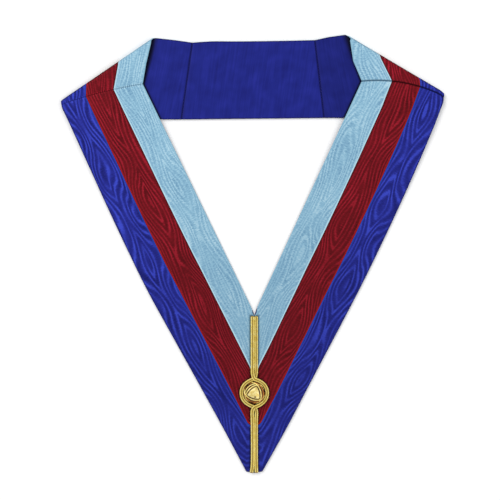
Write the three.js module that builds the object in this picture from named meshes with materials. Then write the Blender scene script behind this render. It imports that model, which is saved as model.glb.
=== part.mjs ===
// A ceremonial ribbon collar lying flat on a table, seen from above with the back of the neck folded down.
// Millimetres. X runs to the right, Y from the point of the collar to the neck, Z up from the table.
import * as THREE from 'three';

// The cloth: three ribbons side by side, sewn to a satin lining.
const BAND_WIDTH = 100;
const RIBBON_THICKNESS = 1.0;
const LINING_THICKNESS = 1.0;
const PIECE_GAP = 0.3;
const LAYER_THICKNESS = RIBBON_THICKNESS + PIECE_GAP + LINING_THICKNESS;
const OVERLAP_LIFT = LAYER_THICKNESS + PIECE_GAP;

// The arms meet at the notch and end in a blunt point below it.
const NECK_EDGE = 307;
const CENTRE_LENGTH = 192.2;
const TIP_HALF_WIDTH = 9.7;
const TIP_CORNER_RISE = 1.7;

// The hollow inside the fold, at the neck and at the outer corner.
const FOLD_HOLLOW_NECK = 4.0;
const FOLD_HOLLOW_CORNER = 0.5;
const FOLD_STEPS = 8;
const SEAM_TO_FOLD = 1.5;

// The back of the neck beside the folds. Places are shares of the way from the fold to the back seam.
const BACK_FLAT_RUN = 22;
const BACK_FLAT_PLACE = 0.6;
const BACK_FLAT_RISE = 0.45;

// Gold braid on the centre seam, and the wound button in its ring.
const STRAND_WIDTH = 4.0;
const STRAND_HEIGHT = 2.0;
const STRAND_GAP = 0.5;
const BRAID_START = 3.0;
const RING_DROP = 95.6;
const RING_RADIUS = 15.6;
const STRAND_SAMPLES = 84;
const BUTTON_CLEARANCE = 0.4;
const BUTTON_HEIGHT = 8.0;
const BUTTON_RIM = 1.2;
const WINDING_DEPTH = 0.35;
const BUTTON_TURN = 72.5;

// Each side of the collar. Leans are degrees from the centre line, tilts and dips degrees from level.
// Lengths are shares of the neck edge (neck) or of the band's width (the rest). Where the ribbons meet, as shares of
// a line across the band, is given where the fold starts (foldSplits) and at its outer edge (edgeSplits).
const SIDES = {
  left: {
    side: -1, armLean: 25.9, neck: 1.0, shoulderLean: 9.4, shoulder: 0.54, foldTilt: 34.1, fold: 1.305,
    neckBulge: -0.006, backDip: 3.3, backRun: 0.506, backSplay: 8.2, backWidth: 0.935, backRise: 0.038,
    bow: 0.082, seamBow: 0.023, foldSplits: [0.347, 0.704], edgeSplits: [0.347, 0.707],
  },
  right: {
    side: 1, armLean: 24.8, neck: 1.003, shoulderLean: 15.1, shoulder: 0.554, foldTilt: 30.3, fold: 1.334,
    neckBulge: 0.034, backDip: 4.8, backRun: 0.42, backSplay: 6.8, backWidth: 0.944, backRise: 0.05,
    bow: 0.088, seamBow: 0.075, foldSplits: [0.312, 0.724], edgeSplits: [0.296, 0.715],
  },
};

// Lines across an arm, from the point to the shoulder seam. Neck and outer are shares along those edges, left and
// right are shares of that side's bow, and the lifts are shares of the height at which cloth lies over cloth.
const ARM_ROWS = [
  { neck: 0.03, outer: 0.0, left: 0.0, right: 0.0, neckLift: 0.0, outerLift: 0.0 },
  { neck: 0.07, outer: 0.12, left: 0.15, right: 0.38, neckLift: 0.0, outerLift: 0.0 },
  { neck: 0.13, outer: 0.24, left: 0.4, right: 0.57, neckLift: 0.0, outerLift: 0.0 },
  { neck: 0.22, outer: 0.37, left: 0.7, right: 0.8, neckLift: 0.0, outerLift: 0.0 },
  { neck: 0.34, outer: 0.5, left: 0.96, right: 1.0, neckLift: 0.0, outerLift: 0.0 },
  { neck: 0.46, outer: 0.61, left: 0.88, right: 1.0, neckLift: 0.04, outerLift: 0.0 },
  { neck: 0.58, outer: 0.72, left: 0.68, right: 0.9, neckLift: 0.28, outerLift: 0.12 },
  { neck: 0.7, outer: 0.82, left: 0.42, right: 0.7, neckLift: 0.75, outerLift: 0.5 },
  { neck: 0.82, outer: 0.92, left: 0.15, right: 0.38, neckLift: 1.15, outerLift: 0.95 },
  { neck: 0.91, outer: 0.965, left: 0.05, right: 0.16, neckLift: 1.35, outerLift: 1.05 },
  { neck: 1.0, outer: 1.0, left: 0.0, right: 0.0, neckLift: 1.6, outerLift: 1.08 },
];

// Where the ribbons meet on the rest of the band, as shares of a line across it.
const SPLITS = {
  centre: [0.4, 0.72],
  tip: [0.36, 0.705],
  middle: [0.338, 0.674],
  seam: [0.349, 0.686],
  back: [0.362, 0.715],
};

// Where the arm's middle is, as a share of the way up its outer edge.
const MIDDLE_OF_ARM = 0.45;

// Lines across the back of the neck between its seams: share of the way, and rise of the neck edge above straight.
const BACK_ROWS = [
  { along: 0.0, rise: 0.0 },
  { along: 0.15, rise: 0.01 },
  { along: 0.35, rise: 0.004 },
  { along: 0.65, rise: 0.0 },
  { along: 1.0, rise: 0.0 },
];

const RIBBONS = ['light_blue', 'crimson', 'royal_blue'];
const CELLS_PER_RIBBON = 3;
const UP = new THREE.Vector3(0, 0, 1);
const DOWN = new THREE.Vector3(0, 0, -1);

const MATERIALS = {
  light_blue: { color: 0x9bc4d8, roughness: 0.5, metalness: 0 },
  crimson: { color: 0x8a1b26, roughness: 0.5, metalness: 0 },
  royal_blue: { color: 0x2a2e96, roughness: 0.5, metalness: 0 },
  lining: { color: 0x212a85, roughness: 0.45, metalness: 0 },
  gold: { color: 0xd4b84a, roughness: 0.35, metalness: 0.75 },
};

const group = new THREE.Group();

function radians(degrees) {
  return THREE.MathUtils.degToRad(degrees);
}

// A step on the table, given outward from the centre line and up the collar.
function step(side, outward, up) {
  return new THREE.Vector3(side * outward, up, 0);
}

function leaningStep(side, length, leanDegrees) {
  const lean = radians(leanDegrees);
  return step(side, length * Math.sin(lean), length * Math.cos(lean));
}

function levelStep(side, length, dipDegrees) {
  const dip = radians(dipDegrees);
  return step(side, length * Math.cos(dip), -length * Math.sin(dip));
}

function between(a, b, share) {
  return a.clone().lerp(b, share);
}

// The main points of one side, walked from the notch up the neck edge, round the fold and to the back seam.
function sidePoints(s) {
  const notch = new THREE.Vector3(0, 0, 0);
  const seamNeck = notch.clone().add(leaningStep(s.side, NECK_EDGE * s.neck, s.armLean));
  const foldNeck = seamNeck.clone().add(leaningStep(s.side, BAND_WIDTH * s.shoulder, -s.shoulderLean));
  const foldOuter = foldNeck.clone().add(levelStep(s.side, BAND_WIDTH * s.fold, s.foldTilt));
  const backNeck = foldNeck.clone().add(levelStep(-s.side, BAND_WIDTH * s.backRun, s.backDip));
  const backOuter = backNeck.clone().add(leaningStep(s.side, -BAND_WIDTH * s.backWidth, -s.backSplay));
  const tilt = radians(s.foldTilt);
  const foldInward = step(s.side, -Math.sin(tilt), -Math.cos(tilt));
  const tipCorner = step(s.side, TIP_HALF_WIDTH, -CENTRE_LENGTH + TIP_CORNER_RISE);
  const foldAlong = foldOuter.clone().sub(foldNeck).normalize();
  const seamOuter = foldOuter.clone()
    .addScaledVector(foldInward, foldRadius(1))
    .addScaledVector(foldAlong, foldRadius(1))
    .addScaledVector(tipCorner.clone().sub(foldOuter).normalize(), SEAM_TO_FOLD);
  return { notch, seamNeck, foldNeck, foldOuter, backNeck, backOuter, foldInward, foldAlong, tipCorner, seamOuter };
}

// Radius of the fold's outer face at a share of the way from the neck to the corner.
function foldRadius(share) {
  return LAYER_THICKNESS + THREE.MathUtils.lerp(FOLD_HOLLOW_NECK, FOLD_HOLLOW_CORNER, share) / 2;
}

// Turns a place across the band, counted in ribbons from 0 to 3, into a share of the line.
function shareAcross(splits, place) {
  const stops = [0, splits[0], splits[1], 1];
  const ribbon = Math.min(Math.floor(place), RIBBONS.length - 1);
  return THREE.MathUtils.lerp(stops[ribbon], stops[ribbon + 1], place - ribbon);
}

function mixSplits(a, b, share) {
  return a.map((value, i) => THREE.MathUtils.lerp(value, b[i], share));
}

// Where the ribbons meet at a share of the way up an arm's outer edge.
function splitsUpArm(share) {
  if (share < MIDDLE_OF_ARM) {
    return mixSplits(SPLITS.tip, SPLITS.middle, share / MIDDLE_OF_ARM);
  }
  return mixSplits(SPLITS.middle, SPLITS.seam, (share - MIDDLE_OF_ARM) / (1 - MIDDLE_OF_ARM));
}

// A line across cloth whose ribbons face up. The two heights are those of the lining's underside.
function upperRow(neck, outer, splits, neckHeight, outerHeight, bow = 0, shift = 0) {
  const across = outer.clone().sub(neck).setZ(0).normalize();
  const upward = new THREE.Vector3(-across.y, across.x, 0);
  if (upward.y < 0) {
    upward.negate();
  }
  return (place) => {
    const share = shareAcross(splits, place);
    const point = between(neck, outer, share).addScaledVector(upward, 4 * share * (1 - share) * bow + shift);
    point.z = THREE.MathUtils.lerp(neckHeight, outerHeight, share) + LAYER_THICKNESS;
    return { point, normal: UP };
  };
}

// A line across cloth whose ribbons face the table.
function lowerRow(neck, outer, splits, shift = 0) {
  return (place) => {
    const point = between(neck, outer, shareAcross(splits, place));
    point.x += shift;
    return { point, normal: DOWN };
  };
}

// A line across the fold. Turn 0 is where it leaves the upper layer, 180 where it joins the lower one. The band
// crosses the fold at half a right angle, so it creeps along the fold by a radius each quarter turn. The lower
// layer's neck edge rises past the fold's end.
function foldRow(p, splits, turnDegrees, rise) {
  const turn = radians(turnDegrees);
  return (place) => {
    const share = shareAcross(splits, place);
    const radius = foldRadius(share);
    const point = between(p.foldNeck, p.foldOuter, share)
      .addScaledVector(p.foldInward, radius * (1 - Math.sin(turn)))
      .addScaledVector(p.foldAlong, radius * (1 - turnDegrees / 90));
    point.y += rise * Math.max(0, turnDegrees / 90 - 1) * (1 - share);
    point.z = radius * (1 + Math.cos(turn));
    const normal = p.foldInward.clone().multiplyScalar(-Math.sin(turn));
    normal.z = Math.cos(turn);
    return { point, normal };
  };
}

// The line midway between two others, with its neck end moved sideways.
function bulgedRow(before, after, bulge) {
  return (place) => {
    const point = between(before(place).point, after(place).point, 0.5);
    point.x += bulge * Math.max(0, 1 - place);
    return { point, normal: UP };
  };
}

// A closed body between two depths below the face that the rows describe.
function sheetBody(rows, places, topDepth, bottomDepth) {
  const positions = [];
  const index = [];
  const width = places.length;
  const layer = rows.length * width;
  for (const depth of [topDepth, bottomDepth]) {
    for (const row of rows) {
      for (const place of places) {
        const { point, normal } = row(place);
        const corner = point.clone().addScaledVector(normal, -depth);
        positions.push(corner.x, corner.y, corner.z);
      }
    }
  }
  const quad = (a, b, c, d) => index.push(a, b, c, a, c, d);
  for (let i = 0; i < rows.length - 1; i += 1) {
    for (let j = 0; j < width - 1; j += 1) {
      const a = i * width + j;
      quad(a, a + 1, a + 1 + width, a + width);
      quad(layer + a, layer + a + width, layer + a + 1 + width, layer + a + 1);
    }
    const first = i * width;
    const last = first + width - 1;
    quad(first, first + width, layer + first + width, layer + first);
    quad(last + width, last, layer + last, layer + last + width);
  }
  const end = (rows.length - 1) * width;
  for (let j = 0; j < width - 1; j += 1) {
    quad(j + 1, j, layer + j, layer + j + 1);
    quad(end + j, end + j + 1, layer + end + j + 1, layer + end + j);
  }
  return outwardBody(positions, index);
}

// Makes a geometry of the triangles, all turned to face outward.
function outwardBody(positions, index) {
  const a = new THREE.Vector3();
  const b = new THREE.Vector3();
  const c = new THREE.Vector3();
  let volume = 0;
  for (let i = 0; i < index.length; i += 3) {
    a.fromArray(positions, 3 * index[i]);
    b.fromArray(positions, 3 * index[i + 1]);
    c.fromArray(positions, 3 * index[i + 2]);
    volume += a.dot(b.cross(c));
  }
  const ordered = volume < 0 ? index.slice().reverse() : index;
  const geometry = new THREE.BufferGeometry();
  geometry.setAttribute('position', new THREE.Float32BufferAttribute(positions, 3));
  geometry.setIndex(ordered);
  geometry.computeVertexNormals();
  return geometry;
}

function addPiece(name, geometry, materialName) {
  const mesh = new THREE.Mesh(geometry, new THREE.MeshStandardMaterial(MATERIALS[materialName]));
  mesh.name = name;
  group.add(mesh);
}

// Places from one end of a stretch to the other, in ribbons, with a point at every cell.
function placesBetween(start, end) {
  const places = [start];
  for (let cell = Math.floor(start * CELLS_PER_RIBBON) + 1; cell / CELLS_PER_RIBBON < end; cell += 1) {
    if (cell / CELLS_PER_RIBBON > start + 0.05 && cell / CELLS_PER_RIBBON < end - 0.05) {
      places.push(cell / CELLS_PER_RIBBON);
    }
  }
  places.push(end);
  return places;
}

// The three ribbons and the lining of one section of the band.
function addSection(section, rows) {
  const ribbonWidth = BAND_WIDTH / RIBBONS.length;
  const halfGap = PIECE_GAP / 2 / ribbonWidth;
  RIBBONS.forEach((ribbon, i) => {
    const start = i === 0 ? 0 : i + halfGap;
    const end = i === RIBBONS.length - 1 ? RIBBONS.length : i + 1 - halfGap;
    addPiece(`${section}_${ribbon}`, sheetBody(rows, placesBetween(start, end), 0, RIBBON_THICKNESS), ribbon);
  });
  const liningTop = RIBBON_THICKNESS + PIECE_GAP;
  const liningRows = sheetBody(rows, placesBetween(0, RIBBONS.length), liningTop, LAYER_THICKNESS);
  addPiece(`${section}_lining`, liningRows, 'lining');
}

// One long arm, from the centre seam to the shoulder seam.
function addArm(name) {
  const s = SIDES[name];
  const p = sidePoints(s);
  const halfGap = PIECE_GAP / 2;
  const outerRun = p.seamOuter.clone().sub(p.tipCorner).normalize();
  const outward = new THREE.Vector3(s.side * Math.abs(outerRun.y), -Math.abs(outerRun.x), 0);
  const centreNeck = step(s.side, halfGap, 0);
  const centreTip = step(s.side, halfGap, -CENTRE_LENGTH);
  const rows = [upperRow(centreNeck, centreTip, SPLITS.centre, 0, 0)];
  for (const r of ARM_ROWS) {
    const neck = between(p.notch, p.seamNeck, r.neck);
    const outer = between(p.tipCorner, p.seamOuter, r.outer).addScaledVector(outward, BAND_WIDTH * s.bow * r[name]);
    const atSeam = r.neck === 1;
    rows.push(upperRow(
      neck, outer, splitsUpArm(r.outer), OVERLAP_LIFT * r.neckLift, OVERLAP_LIFT * r.outerLift,
      atSeam ? BAND_WIDTH * s.seamBow : 0, atSeam ? -halfGap : 0,
    ));
  }
  addSection(`front_${name}`, rows);
}

// From the shoulder seam round the fold to the back seam.
function addShoulder(name) {
  const s = SIDES[name];
  const p = sidePoints(s);
  const halfGap = PIECE_GAP / 2;
  const seam = ARM_ROWS[ARM_ROWS.length - 1];
  const seamRow = upperRow(
    p.seamNeck, p.seamOuter, SPLITS.seam, OVERLAP_LIFT * seam.neckLift, OVERLAP_LIFT * seam.outerLift,
    BAND_WIDTH * s.seamBow, halfGap,
  );
  const foldRows = [];
  for (let i = 0; i <= FOLD_STEPS; i += 1) {
    const turn = (180 * i) / FOLD_STEPS;
    const splits = mixSplits(s.foldSplits, s.edgeSplits, Math.min(1, turn / 90));
    foldRows.push(foldRow(p, splits, turn, BAND_WIDTH * s.backRise));
  }
  const rows = [seamRow, bulgedRow(seamRow, foldRows[0], -s.side * BAND_WIDTH * s.neckBulge), ...foldRows];
  const flatOuter = p.backOuter.clone().add(step(s.side, BACK_FLAT_RUN, 0));
  const flatNeck = between(p.foldNeck, p.backNeck, BACK_FLAT_PLACE);
  flatNeck.y += BAND_WIDTH * s.backRise * BACK_FLAT_RISE;
  rows.push(lowerRow(flatNeck, flatOuter, SPLITS.back));
  rows.push(lowerRow(p.backNeck, p.backOuter, SPLITS.back, s.side * halfGap));
  addSection(`shoulder_${name}`, rows);
}

// Across the back of the neck.
function addBack() {
  const left = sidePoints(SIDES.left);
  const right = sidePoints(SIDES.right);
  const halfGap = PIECE_GAP / 2;
  const rows = BACK_ROWS.map((r) => {
    const neck = between(left.backNeck, right.backNeck, r.along);
    neck.y += BAND_WIDTH * r.rise;
    const outer = between(left.backOuter, right.backOuter, r.along);
    const shift = halfGap * (r.along === 0 ? 1 : 0) - halfGap * (r.along === 1 ? 1 : 0);
    return lowerRow(neck, outer, SPLITS.back, shift);
  });
  addSection('back', rows);
}

// Section of a strand: a flat underside, upright edges and two ribs with a groove between them.
// Across is a share of half the width, high a share of the height.
const STRAND_SECTION = [
  { across: -1, high: 0 },
  { across: 1, high: 0 },
  { across: 1, high: 0.55 },
  { across: 0.75, high: 0.93 },
  { across: 0.4, high: 0.96 },
  { across: 0, high: 0.6 },
  { across: -0.4, high: 0.96 },
  { across: -0.75, high: 0.93 },
  { across: -1, high: 0.55 },
];

// Way of a strand past the ring. Across is a share of half the spacing (strand) or of the ring's radius (ring),
// along a share of the radius above the ring's centre, level 1 where one strand rides over the other.
const STRAND_WAY = [
  { strand: -1, ring: 0, along: 2.3, level: 0 },
  { strand: -1, ring: 0, along: 1.9, level: 0.35 },
  { strand: -1, ring: 0, along: 1.62, level: 1 },
  { strand: -0.7, ring: 0, along: 1.33, level: 1 },
  { strand: 0, ring: 0, along: 1.1, level: 1 },
  { strand: 0, ring: 0.26, along: 0.99, level: 1 },
  { strand: 0, ring: 0.5, along: 0.866, level: 0.6 },
  { strand: 0, ring: 0.77, along: 0.64, level: 0 },
  { strand: 0, ring: 0.94, along: 0.34, level: 0 },
  { strand: 0, ring: 1, along: 0, level: 0 },
  { strand: 0, ring: 0.94, along: -0.34, level: 0 },
  { strand: 0, ring: 0.77, along: -0.64, level: 0 },
  { strand: 0, ring: 0.5, along: -0.866, level: 0.6 },
  { strand: 0, ring: 0.26, along: -0.99, level: 1 },
  { strand: 0, ring: 0, along: -1.1, level: 1 },
  { strand: -0.9, ring: 0, along: -1.3, level: 1 },
  { strand: -1.35, ring: 0, along: -1.55, level: 0.7 },
  { strand: -1.15, ring: 0, along: -1.85, level: 0 },
  { strand: -1, ring: 0, along: -2.2, level: 0 },
];

// One strand of braid. Side -1 starts on the left and rides over, side 1 starts on the right and stays under.
function addStrand(name, side) {
  const half = STRAND_WIDTH / 2;
  const spacing = half + STRAND_GAP / 2;
  const base = LAYER_THICKNESS + PIECE_GAP;
  const over = side < 0 ? STRAND_HEIGHT + PIECE_GAP : 0;
  const points = [new THREE.Vector3(side * spacing, -BRAID_START, base)];
  for (const w of STRAND_WAY) {
    const across = w.strand * spacing + w.ring * RING_RADIUS;
    points.push(new THREE.Vector3(-side * across, -RING_DROP + w.along * RING_RADIUS, base + over * w.level));
  }
  points.push(new THREE.Vector3(side * spacing, -CENTRE_LENGTH + PIECE_GAP, base));
  const curve = new THREE.CatmullRomCurve3(points, false, 'centripetal');
  const positions = [];
  const index = [];
  const ring = STRAND_SECTION.length;
  for (let i = 0; i <= STRAND_SAMPLES; i += 1) {
    const share = i / STRAND_SAMPLES;
    const centre = curve.getPointAt(share);
    const forward = curve.getTangentAt(share);
    const sideways = new THREE.Vector3(forward.y, -forward.x, 0).normalize();
    for (const corner of STRAND_SECTION) {
      const place = centre.clone().addScaledVector(sideways, corner.across * half);
      positions.push(place.x, place.y, Math.max(base, centre.z) + corner.high * STRAND_HEIGHT);
    }
  }
  for (let i = 0; i < STRAND_SAMPLES; i += 1) {
    for (let j = 0; j < ring; j += 1) {
      const a = i * ring + j;
      const b = i * ring + (j + 1) % ring;
      index.push(a, a + ring, b + ring, a, b + ring, b);
    }
  }
  // The cut ends are closed by fans from the bottom of the groove.
  const groove = 5;
  const last = STRAND_SAMPLES * ring;
  for (let j = 0; j < ring; j += 1) {
    const next = (j + 1) % ring;
    if (j !== groove && next !== groove) {
      index.push(groove, j, next);
      index.push(last + groove, last + next, last + j);
    }
  }
  addPiece(name, outwardBody(positions, index), 'gold');
}

// Rings of the button from its middle to its rim. Out is a share of the way from the triangle to the rim.
const BUTTON_RINGS = [
  { out: 0.0, ridge: 0 },
  { out: 0.14, ridge: 1 },
  { out: 0.28, ridge: 0 },
  { out: 0.42, ridge: 1 },
  { out: 0.56, ridge: 0 },
  { out: 0.7, ridge: 1 },
  { out: 0.84, ridge: 0 },
  { out: 1.0, ridge: 0 },
];
const BUTTON_SEGMENTS = 48;
const TRIANGLE_CORNER = 0.73;
const TRIANGLE_SIDE = 0.45;

// A dome wound three ways: a rounded triangle on top and arcs of winding outside each of its sides.
function addButton() {
  const radius = RING_RADIUS - STRAND_WIDTH / 2 - BUTTON_CLEARANCE;
  const base = LAYER_THICKNESS + PIECE_GAP;
  const dome = (r) => BUTTON_RIM + (BUTTON_HEIGHT - BUTTON_RIM) * Math.sqrt(Math.max(0, 1 - (r / radius) ** 2));
  const positions = [0, -RING_DROP, base, 0, -RING_DROP, base + dome(0)];
  const index = [];
  const rings = [{ out: 1.0, ridge: 0, floor: true }, ...BUTTON_RINGS.slice().reverse()];
  rings.push({ inside: 0.55, ridge: 0.6 });
  for (const ring of rings) {
    for (let k = 0; k < BUTTON_SEGMENTS; k += 1) {
      const angle = (2 * Math.PI * k) / BUTTON_SEGMENTS;
      const corner = (1 + Math.cos(3 * angle)) / 2;
      const triangle = radius * THREE.MathUtils.lerp(TRIANGLE_SIDE, TRIANGLE_CORNER, corner ** 1.5);
      const flat = ring.inside ? triangle * ring.inside : THREE.MathUtils.lerp(triangle, radius, ring.out);
      const turned = angle + radians(BUTTON_TURN);
      const height = ring.floor ? 0 : dome(flat) + WINDING_DEPTH * ring.ridge;
      positions.push(flat * Math.cos(turned), -RING_DROP + flat * Math.sin(turned), base + height);
    }
  }
  for (let k = 0; k < BUTTON_SEGMENTS; k += 1) {
    const next = (k + 1) % BUTTON_SEGMENTS;
    index.push(0, 2 + next, 2 + k);
    for (let i = 0; i < rings.length - 1; i += 1) {
      const a = 2 + i * BUTTON_SEGMENTS;
      const b = a + BUTTON_SEGMENTS;
      index.push(a + k, a + next, b + next, a + k, b + next, b + k);
    }
    const top = 2 + (rings.length - 1) * BUTTON_SEGMENTS;
    index.push(1, top + k, top + next);
  }
  addPiece('dome_button', outwardBody(positions, index), 'gold');
}

// Puts the origin under the middle of the whole collar, on the table.
function centreOnTable() {
  const box = new THREE.Box3().setFromObject(group);
  const middle = box.getCenter(new THREE.Vector3());
  for (const mesh of group.children) {
    mesh.geometry.translate(-middle.x, -middle.y, -box.min.z);
  }
}

addArm('left');
addArm('right');
addShoulder('left');
addShoulder('right');
addBack();
addStrand('braid_strand_left', -1);
addStrand('braid_strand_right', 1);
addButton();
centreOnTable();

export default group;
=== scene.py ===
from math import asin, cos, pi, radians, sin, sqrt
from types import SimpleNamespace as Values

import bpy
import numpy as np
from mathutils import Matrix, Vector
from numpy.linalg import norm


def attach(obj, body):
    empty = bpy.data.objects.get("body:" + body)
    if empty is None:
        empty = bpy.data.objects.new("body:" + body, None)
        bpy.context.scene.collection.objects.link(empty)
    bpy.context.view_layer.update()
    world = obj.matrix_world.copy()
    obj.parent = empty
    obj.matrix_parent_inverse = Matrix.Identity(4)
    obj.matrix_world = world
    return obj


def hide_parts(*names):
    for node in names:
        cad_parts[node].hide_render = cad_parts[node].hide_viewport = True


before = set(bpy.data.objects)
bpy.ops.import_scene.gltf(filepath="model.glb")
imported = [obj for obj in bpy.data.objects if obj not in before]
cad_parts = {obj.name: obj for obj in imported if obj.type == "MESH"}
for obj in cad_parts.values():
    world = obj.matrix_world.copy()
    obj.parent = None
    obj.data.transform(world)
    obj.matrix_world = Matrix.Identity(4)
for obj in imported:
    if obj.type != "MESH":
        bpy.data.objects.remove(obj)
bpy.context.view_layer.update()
MM = 0.001

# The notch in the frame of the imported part.
NOTCH = np.array([1.602, -72.134, 0.0])

# The camera looks straight down on the middle of the photograph.
CAMERA_PLACE = (-0.0036, 0.0044, 1.6)
PICTURE_WIDTH = 0.6025
CLOTH_HEIGHT = 0.0023
SENSOR_WIDTH = 36.0

# The table and the light on it. Each light has a name, a place, a size and a power.
FLOOR_SIZE = 6.0
FLOOR_DROP = 0.0004
FLOOR_COLOUR = (0.97, 0.97, 0.97, 1.0)
FLOOR_ROUGHNESS = 0.9
WORLD_LIGHT = 0.7
LIGHTS = (("key", (-1.3, 1.2, 2.0), 1.6, 28.0), ("fill", (1.5, -0.6, 1.8), 1.8, 14.0))

# The cloth: three ribbons side by side, sewn to a satin lining.
BAND_WIDTH = 100.0
RIBBONS = ("light_blue", "crimson", "royal_blue")
RIBBON_WIDTH = BAND_WIDTH / len(RIBBONS)
RIBBON_THICKNESS = 1.0
LINING_THICKNESS = 1.0
PIECE_GAP = 0.3
RIBBON_GAP = 0.15
LAYER_THICKNESS = RIBBON_THICKNESS + PIECE_GAP + LINING_THICKNESS
OVERLAP_LIFT = LAYER_THICKNESS + PIECE_GAP

# The arms meet at the notch and end in a blunt point below it.
NECK_EDGE = 307.0
CENTRE_LENGTH = 192.2
TIP_HALF_WIDTH = 9.7
TIP_CORNER_RISE = 1.7

# The hollow inside the fold, at the neck and at the outer corner.
FOLD_HOLLOW_NECK = 4.0
FOLD_HOLLOW_CORNER = 0.5
FOLD_STEPS = 16
SEAM_TO_FOLD = 1.5

# The gap between two sections at a seam where no gap shows.
SEWN_GAP = 0.06

# The back of the neck beside the folds. Places are shares of the way from the fold to the back seam.
BACK_FLAT_RUN = 22.0
BACK_FLAT_PLACE = 0.6
BACK_FLAT_RISE = 0.45

# Gold braid on the centre seam, and the wound button in its ring.
STRAND_WIDTH = 4.0
STRAND_HEIGHT = 2.0
STRAND_GAP = 0.5
BRAID_START = 3.0
RING_DROP = 95.6
RING_RADIUS = 15.6
BUTTON_CLEARANCE = 0.4
BUTTON_HEIGHT = 8.0
BUTTON_RIM = 1.2
BUTTON_TURN = 72.5

# How the finished cloth differs from flat sheets: rounded edges, seams drawn down by their stitches.
EDGE_RADIUS = 0.45
EDGE_COLUMNS = (0.0, 0.12, 0.35, 0.9)
COLUMN_SPACING = 2.2
SEAM_DIP = 0.45
SEAM_DIP_WIDTH = 1.3
PUCKER_PITCH = 4.6
PUCKER_REACH = 3.5
MOST_RELIEF = 0.8
CLOTH_CREASE = 50

# How wide the painted shadow on the lining is beside the upper layer, from the top of each stretch to its foot.
PAINTED_SHADOW_AT_SHOULDER = (5.6, 2.2)
PAINTED_SHADOW_AT_ARM = (2.2, 1.6)

# How far the notch drops, and how far the ribbon draws back there so that the lining shows, line by line from
# the centre seam. Reach is the part of a line that moves, in ribbons.
NOTCH_DROPS = (2.4, 2.3, 2.1, 1.4, 0.5)
DRAWN_BACK = {"left": (0.0, 0.3, 0.9, 1.1, 0.1), "right": (0.0, 0.3, 1.0, 1.5, 0.7)}
NECK_END_REACH = 0.3

# Each side of the collar. Leans are degrees from the centre line, tilts and dips degrees from level. Lengths
# are shares of the neck edge (neck) or of the band's width (the rest), and the seam's gap and the corner's pull
# and reach are millimetres. Neck moves are how far the neck edge lies outward along the fold from its plain
# place: halfway up the shoulder, then where the fold starts, at its outer edge and where it ends.
SIDES = {
    "left": Values(
        side=-1, arm_lean=25.9, neck=1.0, shoulder_lean=9.4, shoulder=0.54, fold_tilt=34.1,
        fold=1.305, neck_bulge=-0.006, back_dip=3.3, back_run=0.506, back_splay=8.2,
        back_width=0.935, back_rise=0.038, bow=0.082, seam_bow=0.023, pucker=0.3,
        seam_gap=0.06, seam_line=0.25, corner_pull=1.5, corner_reach=3.8,
        fold_splits=(0.347, 0.704), edge_splits=(0.347, 0.707), neck_moves=(-1.2, -2.9, -2.3, 0.0),
    ),
    "right": Values(
        side=1, arm_lean=24.8, neck=1.003, shoulder_lean=15.1, shoulder=0.554, fold_tilt=30.3,
        fold=1.334, neck_bulge=0.034, back_dip=4.8, back_run=0.42, back_splay=6.8,
        back_width=0.944, back_rise=0.05, bow=0.088, seam_bow=0.075, pucker=0.08,
        seam_gap=0.1, seam_line=1.0, corner_pull=2.4, corner_reach=5.6,
        fold_splits=(0.312, 0.724), edge_splits=(0.296, 0.715), neck_moves=(-0.6, -1.5, 1.8, 1.0),
    ),
}

# Lines across an arm, from the point to the shoulder seam. Neck and outer are shares along those edges, left
# and right are shares of that side's bow, and the lifts are shares of the height at which cloth lies on cloth.
ARM_COLUMNS = ("neck", "outer", "left", "right", "neck_lift", "outer_lift")
ARM_ROWS = (
    (0.03, 0, 0, 0, 0, 0),
    (0.07, 0.12, 0.15, 0.38, 0, 0),
    (0.13, 0.24, 0.4, 0.57, 0, 0),
    (0.22, 0.37, 0.7, 0.8, 0, 0),
    (0.34, 0.5, 0.96, 1, 0, 0),
    (0.46, 0.61, 0.88, 1, 0.04, 0),
    (0.58, 0.72, 0.68, 0.9, 0.28, 0.12),
    (0.7, 0.82, 0.42, 0.7, 0.75, 0.5),
    (0.82, 0.92, 0.15, 0.38, 1.15, 0.95),
    (0.91, 0.965, 0.05, 0.16, 1.35, 1.05),
    (1, 1, 0, 0, 1.6, 1.08),
)
ARM_STEPS = 8

# Where the ribbons meet, as shares of a line across the band.
SPLITS = {
    "centre": (0.4, 0.72),
    "tip": (0.36, 0.705),
    "middle": (0.338, 0.674),
    "seam": (0.349, 0.686),
    "back": (0.362, 0.715),
}
SPLITS_UP_ARM = ("tip", "middle", "seam")
MIDDLE_OF_ARM = 0.45

# Lines across the back of the neck between its seams: share of the way, and rise of the neck edge.
BACK_ROWS = ((0.0, 0.0), (0.15, 0.01), (0.35, 0.004), (0.65, 0.0), (1.0, 0.0))
BACK_STEPS = 28

# Where the lines between the main ones lie, as shares of the way from one to the next. LINES_TO_SEAM are short
# of an arm's last line.
LINES_TO_TIP = (0.05, 0.12, 0.3, 0.65)
LINES_TO_SEAM = (0.06, 0.03, 0.01)
LINES_TO_BULGE = (0.02, 0.05, 0.1, 0.25, 0.45, 0.7)
LINES_TO_FOLD = (0.25, 0.5, 0.75)
LINES_TO_FLAT = (0.1, 0.25, 0.5, 0.75)
LINES_TO_BACK_SEAM = (0.2, 0.4, 0.6, 0.8, 0.92, 0.97)
LINES_AT_BACK_SEAM = (0.004, 0.01, 0.02)

UP = np.array([0.0, 0.0, 1.0])
DOWN = -UP


# Points and lines

def step(side, outward, up):
    """A step on the table, outward from the centre line and up the collar."""
    return np.array([side * outward, up, 0.0])


def leaning_step(side, length, lean):
    return step(side, length * sin(radians(lean)), length * cos(radians(lean)))


def level_step(side, length, dip):
    return step(side, length * cos(radians(dip)), -length * sin(radians(dip)))


def between(a, b, share):
    return a + (b - a) * share


def unit(vector):
    return vector / norm(vector)


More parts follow.
